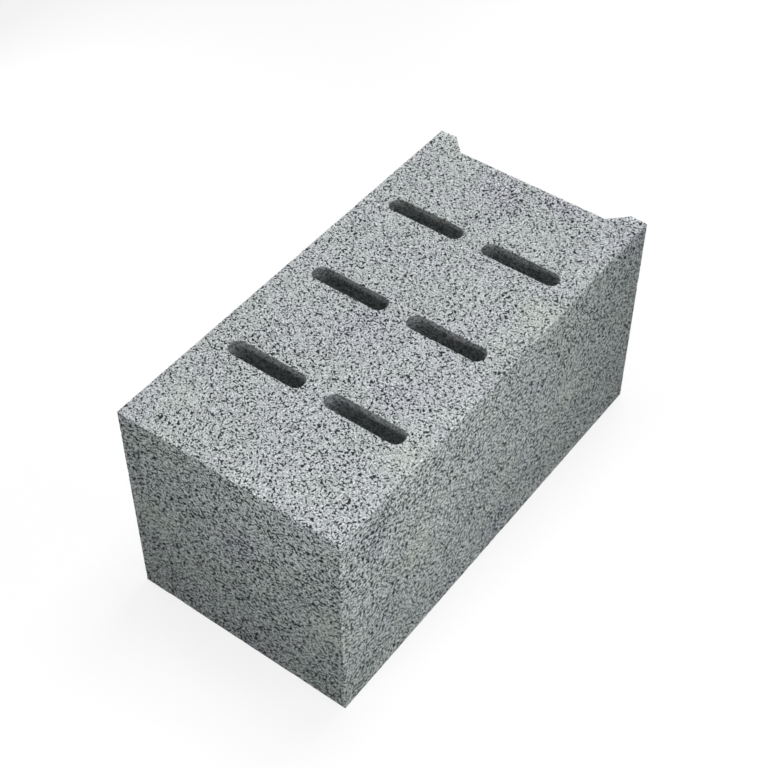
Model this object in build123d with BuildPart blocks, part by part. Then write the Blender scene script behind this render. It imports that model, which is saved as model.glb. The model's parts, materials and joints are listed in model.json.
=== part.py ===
from build123d import *
from math import radians, tan
import os

# A slotted building block, cast in one piece in light-weight concrete.
# Lengths are in millimetres and angles in degrees.
# The block lies on its closed face: +Z is up, +X is across the width, and +Y runs along the
# length towards the grooved end. The origin is the middle of the bottom face.

# Outside of the block
block_width = 200.0
block_length = 400.0
block_height = 200.0
arris_radius = 1.0

# Concrete left around and between the slots
side_wall = 20.0
middle_web = 20.0
end_wall = 92.0
slot_floor = 20.0

# Slots, open at the top and closed at the bottom, with walls that close in on the way down
slots_across = 2
slots_along = 3
slot_width = 16.0
slot_draft = 0.5
slot_foot_bevel = 4.0

# Groove down the whole height of one end, between two lips
groove_lip = 15.0
groove_depth = 15.0
groove_flank_angle = 45.0

# The slots take the length and the spacing that the walls and webs leave them
slot_length = (block_width - 2 * side_wall - (slots_across - 1) * middle_web) / slots_across
pitch_across = slot_length + middle_web
pitch_along = (block_length - 2 * end_wall - slot_width) / max(slots_along - 1, 1)
slot_depth = block_height - slot_floor

# The bevel at the foot of a slot fits inside the width that the draft leaves there
slot_foot_width = slot_width - 2 * slot_depth * tan(radians(slot_draft))
foot_bevel = min(slot_foot_bevel, 0.45 * slot_foot_width)

groove_mouth = block_width - 2 * groove_lip
grooved_end = block_length / 2

with BuildPart() as block:
    # The plan of the block, with the groove taken out of its far end
    with BuildSketch():
        Rectangle(block_width, block_length)
        with Locations((0, grooved_end)):
            Trapezoid(
                groove_mouth,
                groove_depth,
                groove_flank_angle,
                rotation=180,
                align=(Align.CENTER, Align.MIN),
                mode=Mode.SUBTRACT,
            )
    extrude(amount=block_height)

    # A slight rounding, as the mould leaves it, on every outer edge
    fillet(block.edges(), radius=arris_radius)

    # The round-ended slots, sunk from the top face
    with BuildSketch(Plane.XY.offset(block_height)):
        with GridLocations(pitch_across, pitch_along, slots_across, slots_along):
            SlotOverall(slot_length, slot_width)
    extrude(amount=-slot_depth, taper=slot_draft, mode=Mode.SUBTRACT)
    slot_feet = block.edges(Select.LAST).group_by(Axis.Z)[0]
    chamfer(slot_feet, length=foot_bevel)

block.part.label = "block"

os.makedirs("parts", exist_ok=True)
export_step(block.part, "parts/block.step")
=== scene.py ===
import json
from math import pi, radians, tan

import bmesh
import bpy
import numpy as np
from bpy.props import FloatProperty, FloatVectorProperty, IntProperty, PointerProperty
from mathutils import Euler, Matrix, Vector, noise


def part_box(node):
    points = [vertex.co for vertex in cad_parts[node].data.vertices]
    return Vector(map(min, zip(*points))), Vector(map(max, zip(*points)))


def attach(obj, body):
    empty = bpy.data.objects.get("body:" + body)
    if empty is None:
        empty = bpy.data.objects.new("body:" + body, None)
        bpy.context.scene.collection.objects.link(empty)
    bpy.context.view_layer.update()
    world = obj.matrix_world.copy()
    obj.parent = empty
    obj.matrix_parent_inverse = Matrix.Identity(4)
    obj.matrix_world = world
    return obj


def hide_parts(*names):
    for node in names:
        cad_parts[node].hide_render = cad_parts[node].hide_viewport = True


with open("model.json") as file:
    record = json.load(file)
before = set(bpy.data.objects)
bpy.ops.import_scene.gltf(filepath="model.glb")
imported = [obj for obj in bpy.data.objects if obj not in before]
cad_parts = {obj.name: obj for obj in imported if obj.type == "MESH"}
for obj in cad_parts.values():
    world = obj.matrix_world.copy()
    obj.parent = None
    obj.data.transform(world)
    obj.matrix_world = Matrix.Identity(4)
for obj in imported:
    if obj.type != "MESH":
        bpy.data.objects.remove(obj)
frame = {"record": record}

bl_info = {
    "name": "Slotted concrete block",
    "version": (1, 0, 0),
    "blender": (4, 5, 0),
    "location": "View3D > Sidebar > Block",
    "description": "Models a slotted light-weight concrete block and the studio it is shown in",
    "category": "Add Mesh",
}

MM = 0.001

# The block's outside, and the middles of its slots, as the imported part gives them
LOW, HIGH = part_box("block")
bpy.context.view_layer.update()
SLOT_MIDDLES = [
    (Vector(space["box_m"][0]) + Vector(space["box_m"][1])) / 2
    for space in frame["record"]["physics"]["openings"]
    if space["name"].startswith("slot")
]

# Middles of the patches where the concrete is greener, or more violet and more porous
GREEN_PATCHES = (
    (0.09, -0.11, HIGH.z),
    (-0.07, -0.16, HIGH.z),
    (0.09, 0.06, HIGH.z),
    (0.08, LOW.y, 0.09),
    (-0.08, LOW.y, 0.09),
    (HIGH.x, -0.11, 0.10),
    (HIGH.x, 0.10, 0.09),
)
VIOLET_PATCHES = (
    (0.03, 0.18, HIGH.z),
    (-0.01, 0.16, HIGH.z),
    (0.05, -0.07, HIGH.z),
    (-0.01, -0.02, HIGH.z),
    (0.01, LOW.y, 0.13),
    (0.01, LOW.y, 0.01),
    (HIGH.x, 0.00, 0.02),
    (HIGH.x, 0.18, 0.19),
    (HIGH.x, -0.16, 0.17),
)

# The noise runs askew to the faces, because along its own planes it is flatter
ASKEW = Euler((0.5, 0.3, 0.8))

# Noise at which a pit and a chip begin, and at which they are fully open
PIT_OPENS = (0.42, 0.70)
CHIP_OPENS = (0.30, 0.55)

# How far full wear would move a vertex where an arris begins, and where it is sharpest
ARRIS_SHARPENS = (0.10 * MM, 0.50 * MM)

# Spacings of the broader noises in the concrete, and how far the first of them bends its grains
BEND_SPACING = 2.2 * MM
BEND_REACH = 2.0 * MM
CLUSTER_SPACING = 9.0 * MM
DRIFT_SPACING = 40.0 * MM
PATCH_SPACING = 70.0 * MM

# How far below the top face the look of the sides begins, and where it is complete
SIDE_BEGINS = (0.2 * MM, 1.6 * MM)

# Noise at which a pore and a speck begin, and at which they are fully open
PORE_OPENS = (0.358, 0.342)
SPECK_OPENS = (0.316, 0.294)

# Distance from a seam, and noise, at which a crack begins, and at which it is fully open
SEAM_OPENS = (0.16, 0.06)
GAP_OPENS = (0.59, 0.61)

# Distance from a seam at which the paste begins to darken, and at which it is darkest
SEAM_DARKENS = (0.20, 0.04)

# Shades of the paste: the noise that each runs between, and the shade at both ends
# Painted highlight: the paste is paler on the rims round the pores
RIM_HIGHLIGHTS = (0.43, 0.36, 0.98, 1.16)
GRIT_SHADES = (0.40, 0.60, 0.84, 1.16)
DUST_SHADES = (0.40, 0.60, 0.88, 1.12)

# The tint's drift: the noise that it runs between, and its share of violet at both ends
DRIFT_SHARES = (0.30, 0.70, 0.25, 0.75)

WHITE = (1.0, 1.0, 1.0, 1.0)

# Place, aim, width and depth of the lamps, whose strengths are the studio settings of their names
LAMPS = {
    "above": ((0.0, 0.30, 1.50), (0.0, 0.0, 0.20), 0.50, 0.70),
    "front": ((0.10, -0.60, 0.37), (0.03, -0.20, 0.15), 0.25, 0.15),
    "right": ((0.50, -0.12, 0.30), (0.10, -0.08, 0.15), 0.30, 0.15),
    "right_low": ((0.70, -0.10, 0.15), (0.10, -0.10, 0.15), 0.40, 0.12),
    "left": ((-0.70, 0.05, 0.28), (-0.10, 0.05, 0.15), 0.40, 0.20),
    "back": ((-0.05, 0.85, 0.26), (0.0, 0.20, 0.15), 0.30, 0.20),
}


class BlockSizes(bpy.types.PropertyGroup):
    """Sizes of the block's moulded form."""

    slot_length: FloatProperty(
        name="Slot length", description="Length of a slot at its mouth", default=0.070, unit="LENGTH"
    )
    slot_width: FloatProperty(
        name="Slot width", description="Width of a slot at its mouth", default=0.016, unit="LENGTH"
    )
    slot_floor: FloatProperty(
        name="Slot floor", description="Concrete left under a slot", default=0.020, unit="LENGTH"
    )
    slot_draft: FloatProperty(
        name="Slot draft", description="Slant of the slot walls", default=radians(0.5), subtype="ANGLE"
    )
    foot_bevel: FloatProperty(
        name="Foot bevel", description="Bevel round the foot of a slot", default=0.004, unit="LENGTH"
    )
    groove_lip: FloatProperty(
        name="Groove lip", description="Width of the end face beside the groove", default=0.015,
        unit="LENGTH",
    )
    groove_depth: FloatProperty(
        name="Groove depth", description="Depth of the end groove, and the reach of its slanted flanks",
        default=0.015, unit="LENGTH",
    )


class SurfaceRelief(bpy.types.PropertyGroup):
    """Relief that open pores and worn arrises give the surface."""

    cell: FloatProperty(
        name="Cell", description="Size of the cells that the relief is shaped on", default=0.001,
        unit="LENGTH",
    )
    pit_size: FloatProperty(
        name="Pit size", description="Spacing of the lumps that leave a pit between them",
        default=0.0036, unit="LENGTH",
    )
    pit_depth: FloatProperty(
        name="Pit depth", description="Depth of a fully open pit", default=0.0008, unit="LENGTH"
    )
    wear_rounds: IntProperty(
        name="Wear rounds", description="Smoothing rounds behind a fully worn arris", default=8
    )
    wear: FloatProperty(
        name="Wear", description="Share of the full wear that a sound arris has", default=0.05,
        subtype="FACTOR",
    )
    chip_size: FloatProperty(
        name="Chip size", description="Length of the chips along an arris", default=0.007, unit="LENGTH"
    )
    chip_wear: FloatProperty(
        name="Chip wear", description="Share of the full wear that a chip has", default=0.5,
        subtype="FACTOR",
    )
    triangles: IntProperty(
        name="Triangles", description="Most triangles that the block may have", default=190000
    )


class ConcreteFinish(bpy.types.PropertyGroup):
    """Colours, grain and roughness of the concrete."""

    paste: FloatVectorProperty(
        name="Paste", description="Colour of the cement paste on the top face", subtype="COLOR",
        default=(0.662, 0.690, 0.702), min=0.0, max=1.0,
    )
    # Painted light colour: the sides are greener than the top, standing in for the cooler light that falls
    # on the top
    side_light_tint: FloatVectorProperty(
        name="Side tint", description="What the paste's colour is multiplied by on the moulded sides",
        subtype="COLOR", default=(0.965, 1.0, 0.972), min=0.0, max=1.0,
    )
    # The pores are real hollows; their dark colour is painted shade inside them
    pore: FloatVectorProperty(
        name="Pore", description="Colour inside the pores", subtype="COLOR",
        default=(0.026, 0.029, 0.031), min=0.0, max=1.0,
    )
    green_tint: FloatVectorProperty(
        name="Green tint", description="What the paste's colour is multiplied by where it is greenest",
        subtype="COLOR", default=(0.960, 1.0, 0.940), min=0.0, max=2.0,
    )
    violet_tint: FloatVectorProperty(
        name="Violet tint", description="What the paste's colour is multiplied by where it is most violet",
        subtype="COLOR", default=(1.000, 0.985, 1.035), min=0.0, max=2.0,
    )
    grain: FloatProperty(
        name="Grain", description="Spacing of the large pores in the top face", default=0.0018,
        unit="LENGTH",
    )
    side_grain: FloatProperty(
        name="Side grain", description="Spacing of the large pores in the sides", default=0.0026,
        unit="LENGTH",
    )
    side_grit: FloatProperty(
        name="Side grit", description="Spacing of the grit in the sides", default=0.0017, unit="LENGTH"
    )
    # Partly painted relief shading: the grit shows stronger on the sides, standing in for the light and
    # shade that its relief would catch at a slant
    side_contrast_and_shading: FloatProperty(
        name="Side contrast", description="How much stronger the grit shows on the sides", default=1.1
    )
    speck: FloatProperty(
        name="Speck", description="Spacing of the fine pores", default=0.0013, unit="LENGTH"
    )
    grit: FloatProperty(
        name="Grit", description="Spacing of the paler and darker grains in the paste", default=0.0011,
        unit="LENGTH",
    )
    pressing: FloatProperty(
        name="Pressing", description="How many times flatter than wide the grains lie", default=1.4
    )
    patch_reach: FloatProperty(
        name="Patch reach", description="How far a patch of tint fades out", default=0.030, unit="LENGTH"
    )
    # Painted shade on the slots' walls just under their mouths
    mouth_painted_shade: FloatProperty(
        name="Mouth shade", description="Shade of the slots' walls just under their mouths", default=0.34,
        subtype="FACTOR",
    )
    # How far down the slots' walls the painted shade under their mouths fades out
    painted_shade_depth: FloatProperty(
        name="Mouth depth", description="How far down the slots' walls their mouths' shade fades out",
        default=0.007, unit="LENGTH",
    )
    # Painted shade on the slots' walls further down
    core_painted_shade: FloatProperty(
        name="Core shade", description="Shade of the slots' walls further down", default=0.78,
        subtype="FACTOR",
    )
    roughness: FloatProperty(
        name="Roughness", description="Roughness of the paste", default=0.92, subtype="FACTOR"
    )
    bump: FloatProperty(
        name="Bump", description="Height of the relief that is too fine for the mesh", default=0.0012,
        unit="LENGTH",
    )


class StudioSettings(bpy.types.PropertyGroup):
    """Camera, lamps and floor."""

    eye: FloatVectorProperty(
        name="Eye", description="Where the camera stands", default=(0.5056, -0.6966, 1.0428),
        subtype="XYZ", unit="LENGTH",
    )
    aim: FloatVectorProperty(
        name="Aim", description="What the camera looks at", default=(-0.0197, 0.0097, 0.100),
        subtype="XYZ", unit="LENGTH",
    )
    lens: FloatProperty(name="Lens", description="Focal length", default=74.9, unit="CAMERA")
    floor_size: FloatProperty(
        name="Floor size", description="Width of the floor", default=12.0, unit="LENGTH"
    )
    sky: FloatProperty(name="Sky", description="Strength of the even light from all round", default=0.02)
    above: FloatProperty(name="Above", description="Strength of the lamp above the block", default=0.850)
    front: FloatProperty(
        name="Front", description="Strength of the lamp before the plain end", default=0.60
    )
    right: FloatProperty(name="Right", description="Strength of the lamp on the right", default=0.62)
    right_low: FloatProperty(
        name="Right low", description="Strength of the low lamp on the right", default=0.235
    )
    left: FloatProperty(name="Left", description="Strength of the lamp on the left", default=0.60)
    back: FloatProperty(
        name="Back", description="Strength of the lamp behind the grooved end", default=0.45
    )
    glow: FloatProperty(
        name="Floor glow", description="Share of the floor's white that no shadow darkens", default=0.80,
        subtype="FACTOR",
    )


def new_object(name, data):
    """Puts a mesh, a camera or a lamp in the scene, as an object of that name."""
    thing = bpy.data.objects.new(name, data)
    bpy.context.scene.collection.objects.link(thing)
    return thing


def form_object(name, form):
    """Turns a bmesh into an object and frees it."""
    mesh = bpy.data.meshes.new(name)
    form.to_mesh(mesh)
    form.free()
    return new_object(name, mesh)


def baked_mesh(name, source):
    """The mesh that an object's modifiers make of it."""
    seen = source.evaluated_get(bpy.context.evaluated_depsgraph_get())
    mesh = bpy.data.meshes.new_from_object(seen)
    mesh.name = name
    return mesh


def body_form(sizes):
    """The block without its slots: a box with the groove folded into its far end."""
    form = bmesh.new()
    bmesh.ops.create_cube(form, size=1.0)
    bmesh.ops.scale(form, vec=HIGH - LOW, verts=form.verts)
    bmesh.ops.translate(form, vec=(LOW + HIGH) / 2, verts=form.verts)
    mouth = HIGH.x - sizes.groove_lip
    floor = mouth - sizes.groove_depth
    for cut in (-mouth, -floor, floor, mouth):
        everything = form.verts[:] + form.edges[:] + form.faces[:]
        bmesh.ops.bisect_plane(form, geom=everything, plane_co=(cut, 0, 0), plane_no=(1, 0, 0))
    halfway = (floor + mouth) / 2
    groove_floor = [v for v in form.verts if abs(v.co.x) < halfway and v.co.y > 0]
    bmesh.ops.translate(form, vec=(0, -sizes.groove_depth, 0), verts=groove_floor)
    return form


def add_slot_core(form, middle, sizes, segments=48):
    """A tapered, round-ended core with a bevelled foot, standing where the slot is."""
    above = 5 * MM
    radius = sizes.slot_width / 2
    reach = sizes.slot_length / 2 - radius
    straight = HIGH.z - LOW.z - sizes.slot_floor - sizes.foot_bevel
    place = Matrix.Translation((middle.x, middle.y, HIGH.z + above))
    turn = Matrix.Rotation(pi / segments, 4, "Z")
    top = bmesh.ops.create_circle(
        form, cap_ends=True, segments=segments, radius=radius, matrix=place @ turn
    )
    for side in (-1, 1):
        half = [v for v in top["verts"] if side * (v.co.x - middle.x) > 0]
        bmesh.ops.translate(form, vec=(side * reach, 0, 0), verts=half)

    lid = face = top["verts"][0].link_faces[0]
    bevel = sizes.foot_bevel
    steps = ((above, 0.0), (straight, straight * tan(sizes.slot_draft)), (bevel, bevel))
    for depth, narrowing in steps:
        pushed = bmesh.ops.extrude_face_region(form, geom=[face])["geom"]
        if face != lid:
            bmesh.ops.delete(form, geom=[face], context="FACES_ONLY")
        face = next(part for part in pushed if isinstance(part, bmesh.types.BMFace))
        bmesh.ops.translate(form, vec=(0, 0, -depth), verts=face.verts)
        share = 1 - narrowing / radius
        for side in (-1, 1):
            half = [v for v in face.verts if side * (v.co.x - middle.x) > 0]
            round_centre = Matrix.Translation((-middle.x - side * reach, -middle.y, 0))
            bmesh.ops.scale(form, vec=(share, share, 1), space=round_centre, verts=half)
        radius -= narrowing


def slot_cores(sizes):
    """All the slots' cores, as one object to cut with."""
    form = bmesh.new()
    for middle in SLOT_MIDDLES:
        add_slot_core(form, middle, sizes)
    bmesh.ops.recalc_face_normals(form, faces=form.faces)
    return form_object("slot_cores", form)


def cast_blank(sizes, relief):
    """The block as it leaves the mould, in even cells: the body with its slots cored out."""
    blank = form_object("blank", body_form(sizes))
    cores = slot_cores(sizes)
    coring = blank.modifiers.new("coring", "BOOLEAN")
    coring.operation = "DIFFERENCE"
    coring.solver = "EXACT"
    coring.object = cores
    cells = blank.modifiers.new("cells", "REMESH")
    cells.mode = "VOXEL"
    cells.voxel_size = relief.cell
    mesh = baked_mesh("block_skin", blank)
    bpy.data.objects.remove(blank)
    bpy.data.objects.remove(cores)
    return mesh


def smoothstep(value, low, high):
    """0 below low, 1 above high, and a soft step between."""
    t = np.clip((value - low) / (high - low), 0.0, 1.0)
    return t * t * (3 - 2 * t)


def vertex_array(mesh, name):
    """A vertex property of a mesh as rows of three numbers."""
    values = np.empty(len(mesh.vertices) * 3, np.float32)
    mesh.vertices.foreach_get(name, values)
    return values.reshape(-1, 3)


def worn_places(mesh, rounds):
    """Where each vertex would lie if every arris were fully worn round."""
    form = bmesh.new()
    form.from_mesh(mesh)
    for _ in range(rounds):
        bmesh.ops.smooth_vert(
            form, verts=form.verts, factor=0.5, use_axis_x=True, use_axis_y=True, use_axis_z=True
        )
    smooth = np.array([v.co for v in form.verts], np.float32)
    form.free()
    return smooth


def noise_array(points, period, offset=0.0):
    """Perlin noise, from about -1 to 1, whose lumps are about a period apart."""
    shift = Vector((offset, offset, offset))
    return np.array([noise.noise(point / period + shift) for point in points])


def give_attribute(mesh, name, values):
    """Writes a number for each vertex, for the material to read."""
    attribute = mesh.attributes.new(name, "FLOAT", "POINT")
    attribute.data.foreach_set("value", values.astype(np.float32))


def give_relief(mesh, relief):
    """Opens pits in the surface, and wears and chips the arrises."""
    places = vertex_array(mesh, "co")
    normals = vertex_array(mesh, "normal")
    worn = worn_places(mesh, relief.wear_rounds)

    turn = ASKEW.to_matrix()
    points = [turn @ Vector(place) for place in places.tolist()]
    coarse = noise_array(points, relief.pit_size)
    fine = noise_array(points, relief.pit_size / 2, offset=5.0)
    pit = smoothstep(coarse + 0.4 * fine, *PIT_OPENS)
    chip = smoothstep(noise_array(points, relief.chip_size, offset=9.0), *CHIP_OPENS)

    # Deep pits would make the arrises look torn
    rounding = np.einsum("ij,ij->i", places - worn, normals)
    arris = smoothstep(rounding, *ARRIS_SHARPENS)
    pit *= 1 - 0.8 * arris

    share = relief.wear + (relief.chip_wear - relief.wear) * chip
    shaped = places + (worn - places) * share[:, None] - normals * (pit * relief.pit_depth)[:, None]
    mesh.vertices.foreach_set("co", shaped.astype(np.float32).ravel())
    # The material paints shade in the pits from this
    give_attribute(mesh, "hollow", pit)
    give_attribute(mesh, "arris", arris)
    mesh.update()


def thinned(mesh, triangles):
    """The mesh in fewer triangles, larger where it is flat, with nothing outside the part's box."""
    full = new_object("full", mesh)
    thinning = full.modifiers.new("thinning", "DECIMATE")
    thinning.ratio = min(1.0, triangles / (2 * len(mesh.polygons)))
    thin = baked_mesh("block", full)
    bpy.data.objects.remove(full)
    kept = np.clip(vertex_array(thin, "co"), LOW, HIGH)
    thin.vertices.foreach_set("co", kept.astype(np.float32).ravel())
    thin.update()
    return thin


class BLOCK_OT_cast(bpy.types.Operator):
    """Model the block's surface with its relief, and stand it in for the plain part"""

    bl_idname = "block.cast"
    bl_label = "Cast block"
    bl_options = {"REGISTER", "UNDO"}

    def execute(self, context):
        scene = context.scene
        skin = cast_blank(scene.block_sizes, scene.block_relief)
        give_relief(skin, scene.block_relief)
        skin = thinned(skin, scene.block_relief.triangles)
        skin.shade_smooth()
        piece = new_object("block_cast", skin)
        skin.materials.append(concrete_material(scene.block_finish, scene.block_sizes))
        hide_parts("block")
        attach(piece, "root")
        return {"FINISHED"}


class Nodes:
    """Short calls for laying out a node tree."""

    def __init__(self, tree):
        self.tree = tree

    def add(self, kind, inputs=(), **settings):
        """Adds a node; an input is a value to set or a socket to link."""
        node = self.tree.nodes.new(kind)
        for name, value in settings.items():
            setattr(node, name, value)
        for slot, value in dict(inputs).items():
            if isinstance(value, bpy.types.NodeSocket):
                self.tree.links.new(value, node.inputs[slot])
            else:
                node.inputs[slot].default_value = value
        return node

    def maths(self, operation, *values):
        """A number worked out from others."""
        return self.add("ShaderNodeMath", enumerate(values), operation=operation).outputs[0]

    def vectors(self, operation, *values):
        """A vector worked out from others."""
        return self.add("ShaderNodeVectorMath", enumerate(values), operation=operation).outputs[0]

    def scaled(self, vector, scale):
        """A vector or a colour times a number."""
        inputs = {0: vector, "Scale": scale}
        return self.add("ShaderNodeVectorMath", inputs, operation="SCALE").outputs[0]

    def ramp(self, value, low, high, to_low=0.0, to_high=1.0, interpolation="LINEAR"):
        """A straight run of a value from low to high."""
        inputs = {"Value": value, "From Min": low, "From Max": high, "To Min": to_low, "To Max": to_high}
        return self.add("ShaderNodeMapRange", inputs, interpolation_type=interpolation).outputs[0]

    def step(self, value, low, high, to_low=0.0, to_high=1.0):
        """A soft step of a value from low to high."""
        return self.ramp(value, low, high, to_low, to_high, interpolation="SMOOTHSTEP")

    def noise(self, places, spacing, detail=0.0, output=0):
        """Cloudy noise over places in millimetres, whose lumps are about a spacing apart."""
        inputs = {"Vector": places, "Scale": MM / spacing, "Detail": detail}
        return self.add("ShaderNodeTexNoise", inputs).outputs[output]

    def mix(self, share, first, second, blend="MIX"):
        """Two colours mixed."""
        inputs = {0: share, 6: first, 7: second}
        return self.add("ShaderNodeMix", inputs, data_type="RGBA", blend_type=blend).outputs[2]

    def between(self, share, first, second):
        """A number that goes from the first to the second."""
        return self.add("ShaderNodeMix", {0: share, 2: first, 3: second}).outputs[0]

    def product(self, first, *others):
        """Numbers multiplied together."""
        for value in others:
            first = self.maths("MULTIPLY", first, value)
        return first

    def weighted(self, *terms):
        """Numbers added together, each times its weight."""
        total = 0.0
        for value, weight in terms:
            total = self.maths("MULTIPLY_ADD", value, weight, total)
        return total

    def attribute(self, name):
        """A number that the mesh carries for each vertex."""
        return self.add("ShaderNodeAttribute", attribute_name=name).outputs["Fac"]

    def near(self, places, spots, reach):
        """How near a place is to the nearest of some spots: 1 on it, 0 beyond the reach."""
        nearest = 0.0
        for spot in spots:
            away = self.add("ShaderNodeVectorMath", {0: places, 1: spot}, operation="DISTANCE")
            nearest = self.maths("MAXIMUM", nearest, self.step(away.outputs["Value"], reach, 0.0))
        return nearest


def empty_tree(owner):
    """Short calls for the node tree of a new material or world, which is emptied first."""
    owner.use_nodes = True
    owner.node_tree.nodes.clear()
    return Nodes(owner.node_tree)


def opaque(colour):
    """A colour with full opacity, as a node wants it."""
    return (*colour, 1.0)


def block_regions(nodes, own, sizes):
    """Masks of the block's sides, of the slots, and of the slots' walls alone."""
    across, along, up = nodes.add("ShaderNodeSeparateXYZ", {0: own}).outputs
    begins, complete = SIDE_BEGINS
    side = nodes.step(up, HIGH.z - begins, HIGH.z - complete)
    reach_across = max(middle.x for middle in SLOT_MIDDLES) + sizes.slot_length / 2
    reach_along = max(middle.y for middle in SLOT_MIDDLES) + sizes.slot_width / 2
    margin = 10 * MM
    slots = nodes.product(
        nodes.step(up, LOW.z, LOW.z + sizes.slot_floor),
        nodes.step(nodes.maths("ABSOLUTE", across), reach_across + margin, reach_across),
        nodes.step(nodes.maths("ABSOLUTE", along), reach_along + margin, reach_along),
    )
    return side, slots, nodes.product(slots, side)


def noise_places(nodes, own, finish):
    """Places in millimetres for the noises, as they are and bent to and fro."""
    per_mm = 1 / MM
    scale = (per_mm, per_mm, finish.pressing * per_mm)
    places = nodes.add("ShaderNodeMapping", {"Vector": own, "Rotation": ASKEW, "Scale": scale}).outputs[0]
    bend = nodes.noise(places, BEND_SPACING, output="Color")
    bend = nodes.vectors("SUBTRACT", bend, (0.5, 0.5, 0.5))
    return places, nodes.vectors("ADD", places, nodes.scaled(bend, BEND_REACH / MM))


def pore_density(nodes, places, side, violet_share):
    """How much denser the pores lie: in clusters, in broad and violet patches, and on the sides."""
    clusters = nodes.noise(places, CLUSTER_SPACING, detail=1.0)
    patches = nodes.noise(places, PATCH_SPACING, detail=2.0)
    return nodes.weighted((clusters, 0.01), (patches, 0.04), (violet_share, 0.034), (side, 0.015))


def grain_lumps(nodes, bent, side, density, finish):
    """Noise of the grain, coarser on the sides; it is high on a grain and low in a pore."""
    fine = nodes.noise(bent, finish.grain)
    coarse = nodes.noise(bent, finish.side_grain)
    return nodes.maths("SUBTRACT", nodes.between(side, fine, coarse), density)


def seam_distance(nodes, bent, finish):
    """Distance from the seams between the grains."""
    web = {"Vector": bent, "Scale": MM / (1.25 * finish.grain)}
    return nodes.add("ShaderNodeTexVoronoi", web, feature="DISTANCE_TO_EDGE").outputs["Distance"]


def crack_share(nodes, places, side, density, seams, finish):
    """Where a seam stands open, which shows most on the sides."""
    elsewhere = nodes.vectors("ADD", places, (31.0, 17.0, 5.0))
    gaps = nodes.maths("ADD", nodes.noise(elsewhere, 1.5 * finish.grain), density)
    return nodes.product(
        nodes.step(seams, *SEAM_OPENS), nodes.step(gaps, *GAP_OPENS), nodes.between(side, 0.15, 1.0)
    )


def pore_share(nodes, places, core, density, lumps, cracks, finish):
    """Where it is dark: in pores, specks and cracks, and less so in the mesh's pits and the slots; this
    darkness is painted shade inside the hollows.
    """
    specks = nodes.maths("SUBTRACT", nodes.noise(places, finish.speck), density)
    # Painted shade in the mesh's pits, over the shade that their relief already casts
    pits = nodes.maths("MULTIPLY", nodes.attribute("hollow"), 0.5)
    pore = nodes.maths("MAXIMUM", nodes.step(lumps, *PORE_OPENS), nodes.step(specks, *SPECK_OPENS))
    pore = nodes.maths("MAXIMUM", pore, cracks)
    pore = nodes.maths("MAXIMUM", pore, pits)
    return nodes.product(pore, nodes.between(core, 1.0, 0.7))


def grit_noise(nodes, places, bent, side, finish):
    """Noise of the grit in the paste, coarser on the sides."""
    fine = nodes.noise(places, finish.grit)
    coarse = nodes.noise(bent, finish.side_grit)
    return nodes.between(side, fine, coarse)


def paste_shade(nodes, places, side, lumps, seams, grit, finish):
    """How light the paste is: darker in seams, with a painted highlight round pores, and uneven with grit
    and dust.
    """
    dust = nodes.noise(places, 0.75 * finish.grit)
    shade = nodes.product(
        nodes.step(seams, *SEAM_DARKENS, 1.0, nodes.between(side, 0.70, 0.92)),
        # Painted highlight on the rims round the pores
        nodes.step(lumps, *RIM_HIGHLIGHTS),
        nodes.step(grit, *GRIT_SHADES),
        nodes.step(dust, *DUST_SHADES),
    )
    # Partly painted relief shading: the paste's shades are stronger on the sides
    return nodes.maths("POWER", shade, nodes.between(side, 1.0, finish.side_contrast_and_shading))


def wear_shade(nodes, slots):
    """Paler paste on the arrises, other than those of the slots."""
    arris = nodes.product(nodes.attribute("arris"), nodes.maths("SUBTRACT", 1.0, slots))
    return nodes.between(arris, 1.0, 1.25)


def slot_painted_shade(nodes, own, core, finish):
    """Painted shade on the slots' walls, darkest just under their mouths."""
    up = nodes.add("ShaderNodeSeparateXYZ", {0: own}).outputs[2]
    lowest = HIGH.z - finish.painted_shade_depth
    painted_wall_shade = nodes.ramp(up, HIGH.z, lowest, finish.mouth_painted_shade, finish.core_painted_shade)
    return nodes.between(core, 1.0, painted_wall_shade)


def paste_colour(nodes, places, side, core, violet_share, finish):
    """The paste's colour, with a faint tint that drifts between green and violet, and a painted light tint
    on the sides.
    """
    drift = nodes.noise(places, DRIFT_SPACING, detail=2.0)
    turn = nodes.weighted((violet_share, 0.6), (nodes.step(drift, *DRIFT_SHARES), 1.0))
    tint = nodes.mix(turn, opaque(finish.green_tint), opaque(finish.violet_tint))
    outside = nodes.maths("SUBTRACT", side, core)
    # Painted light colour: a greener tint on the sides than on the top
    sides = nodes.mix(outside, WHITE, opaque(finish.side_light_tint))
    return nodes.mix(1.0, opaque(finish.paste), nodes.mix(1.0, tint, sides, "MULTIPLY"), "MULTIPLY")


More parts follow.
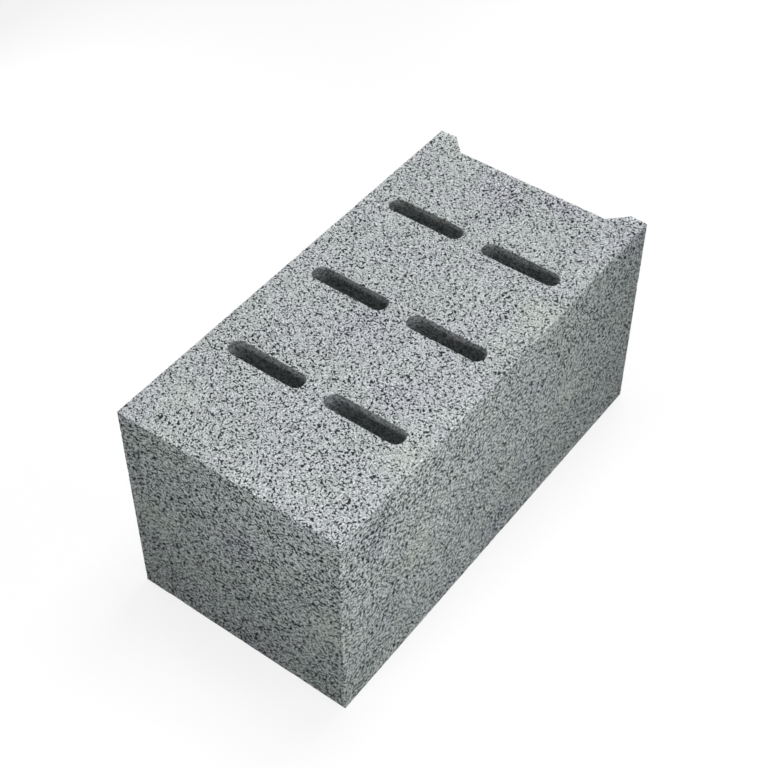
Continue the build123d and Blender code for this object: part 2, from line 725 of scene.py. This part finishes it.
def concrete_material(finish, sizes):
    """Porous concrete: pale paste in grains, dark pores between them, and faint patches of tint."""
    material = bpy.data.materials.new("porous_concrete")
    nodes = empty_tree(material)
    own = nodes.add("ShaderNodeTexCoord").outputs["Object"]
    side, slots, core = block_regions(nodes, own, sizes)
    places, bent = noise_places(nodes, own, finish)
    green = nodes.near(own, GREEN_PATCHES, finish.patch_reach)
    violet = nodes.near(own, VIOLET_PATCHES, finish.patch_reach)
    violet_share = nodes.maths("SUBTRACT", violet, green)

    # Dark places
    density = pore_density(nodes, places, side, violet_share)
    lumps = grain_lumps(nodes, bent, side, density, finish)
    seams = seam_distance(nodes, bent, finish)
    cracks = crack_share(nodes, places, side, density, seams, finish)
    pore = pore_share(nodes, places, core, density, lumps, cracks, finish)

    # Paste
    grit = grit_noise(nodes, places, bent, side, finish)
    shade = nodes.product(
        paste_shade(nodes, places, side, lumps, seams, grit, finish),
        wear_shade(nodes, slots),
        # Painted shade on the slots' walls
        slot_painted_shade(nodes, own, core, finish),
    )
    paste = nodes.scaled(paste_colour(nodes, places, side, core, violet_share, finish), shade)

    # Relief too fine for the mesh, and pores a little rougher than the paste
    height = nodes.weighted((grit, 0.5), (lumps, 1.0))
    bump = nodes.add("ShaderNodeBump", {"Distance": finish.bump, "Height": height})
    looks = {
        # The dark colour of the pores, specks, cracks and pits is painted shade
        "Base Color": nodes.mix(pore, paste, opaque(finish.pore)),
        "Roughness": nodes.between(pore, finish.roughness, 1.0),
        "Normal": bump.outputs[0],
        "Specular IOR Level": 0.25,
    }
    shader = nodes.add("ShaderNodeBsdfPrincipled", looks)
    nodes.add("ShaderNodeOutputMaterial", {"Surface": shader.outputs[0]})
    return material


def seen_directly(nodes):
    """1 for what the camera sees, in a gloss or through glass too, and 0 for what only lights."""
    path = nodes.add("ShaderNodeLightPath")
    seen = nodes.maths("MAXIMUM", path.outputs["Is Camera Ray"], path.outputs["Is Glossy Ray"])
    return nodes.maths("MAXIMUM", seen, path.outputs["Is Transmission Ray"])


def floor_material(studio):
    """A white floor that shows the block's shadow and throws little light back up."""
    material = bpy.data.materials.new("studio_floor")
    nodes = empty_tree(material)
    pale = nodes.add("ShaderNodeBsdfDiffuse", {"Color": opaque((0.95, 0.95, 0.95))})
    glow = nodes.add("ShaderNodeEmission", {"Color": WHITE, "Strength": 1.0})
    white = nodes.add("ShaderNodeMixShader", {0: studio.glow, 1: pale.outputs[0], 2: glow.outputs[0]})
    dull = nodes.add("ShaderNodeBsdfDiffuse", {"Color": opaque((0.10, 0.10, 0.10))})
    layers = {0: seen_directly(nodes), 1: dull.outputs[0], 2: white.outputs[0]}
    floor = nodes.add("ShaderNodeMixShader", layers)
    nodes.add("ShaderNodeOutputMaterial", {"Surface": floor.outputs[0]})
    return material


def add_floor(studio):
    """A plain floor under the block."""
    form = bmesh.new()
    bmesh.ops.create_grid(form, x_segments=1, y_segments=1, size=studio.floor_size / 2)
    floor = form_object("floor", form)
    floor.data.materials.append(floor_material(studio))


def stand(name, data, place, aim):
    """Stands a camera or a lamp in its place, turned to face its aim."""
    thing = new_object(name, data)
    thing.location = place
    view = Vector(aim) - Vector(place)
    thing.rotation_euler = view.to_track_quat("-Z", "Y").to_euler()
    return thing


def add_camera(studio):
    """The camera at the height and angle that the block is seen from."""
    data = bpy.data.cameras.new("camera")
    data.sensor_width = 36.0
    data.lens = studio.lens
    bpy.context.scene.camera = stand("camera", data, studio.eye, studio.aim)


def add_softbox(name, place, aim, width, depth, strength):
    """A soft lamp that faces its aim; its strength is what it lays on a surface facing it there."""
    data = bpy.data.lights.new(name, "AREA")
    data.shape = "RECTANGLE"
    data.size = width
    data.size_y = depth
    data.energy = strength * pi * pi * (Vector(aim) - Vector(place)).length_squared
    lamp = stand(name, data, place, aim)
    lamp.visible_camera = False


def add_sky(studio):
    """Even light from all round, which the camera sees as white."""
    world = bpy.data.worlds.new("studio_air")
    nodes = empty_tree(world)
    strength = nodes.between(seen_directly(nodes), studio.sky, 1.0)
    air = nodes.add("ShaderNodeBackground", {"Color": WHITE, "Strength": strength})
    nodes.add("ShaderNodeOutputWorld", {"Surface": air.outputs[0]})
    bpy.context.scene.world = world


class BLOCK_OT_studio(bpy.types.Operator):
    """Set up the floor, the lamps and the camera"""

    bl_idname = "block.studio"
    bl_label = "Set up studio"
    bl_options = {"REGISTER", "UNDO"}

    def execute(self, context):
        studio = context.scene.block_studio
        context.scene.view_settings.view_transform = "Standard"
        add_floor(studio)
        add_camera(studio)
        add_sky(studio)
        for name, (place, aim, width, depth) in LAMPS.items():
            add_softbox("lamp_" + name, place, aim, width, depth, getattr(studio, name))
        return {"FINISHED"}


def list_settings(layout, settings):
    """Lays out every setting of a group in a box."""
    box = layout.box()
    for name in settings.__annotations__:
        box.prop(settings, name)


class BLOCK_PT_panel(bpy.types.Panel):
    """Sidebar panel that lists the block's operators and settings"""

    bl_label = "Concrete block"
    bl_space_type = "VIEW_3D"
    bl_region_type = "UI"
    bl_category = "Block"

    def draw(self, context):
        layout = self.layout
        scene = context.scene
        layout.operator(BLOCK_OT_studio.bl_idname)
        list_settings(layout, scene.block_studio)
        layout.operator(BLOCK_OT_cast.bl_idname)
        for settings in (scene.block_sizes, scene.block_relief, scene.block_finish):
            list_settings(layout, settings)


CLASSES = (
    BlockSizes,
    SurfaceRelief,
    ConcreteFinish,
    StudioSettings,
    BLOCK_OT_studio,
    BLOCK_OT_cast,
    BLOCK_PT_panel,
)


def register():
    """Registers the classes, and gives every scene their settings."""
    for each in CLASSES:
        bpy.utils.register_class(each)
    bpy.types.Scene.block_sizes = PointerProperty(type=BlockSizes)
    bpy.types.Scene.block_relief = PointerProperty(type=SurfaceRelief)
    bpy.types.Scene.block_finish = PointerProperty(type=ConcreteFinish)
    bpy.types.Scene.block_studio = PointerProperty(type=StudioSettings)


def unregister():
    """Takes the settings and the classes away again."""
    del bpy.types.Scene.block_studio
    del bpy.types.Scene.block_finish
    del bpy.types.Scene.block_relief
    del bpy.types.Scene.block_sizes
    for each in reversed(CLASSES):
        bpy.utils.unregister_class(each)


def main():
    """Builds the whole scene."""
    register()
    bpy.ops.block.studio()
    bpy.ops.block.cast()


if __name__ == "__main__":
    main()
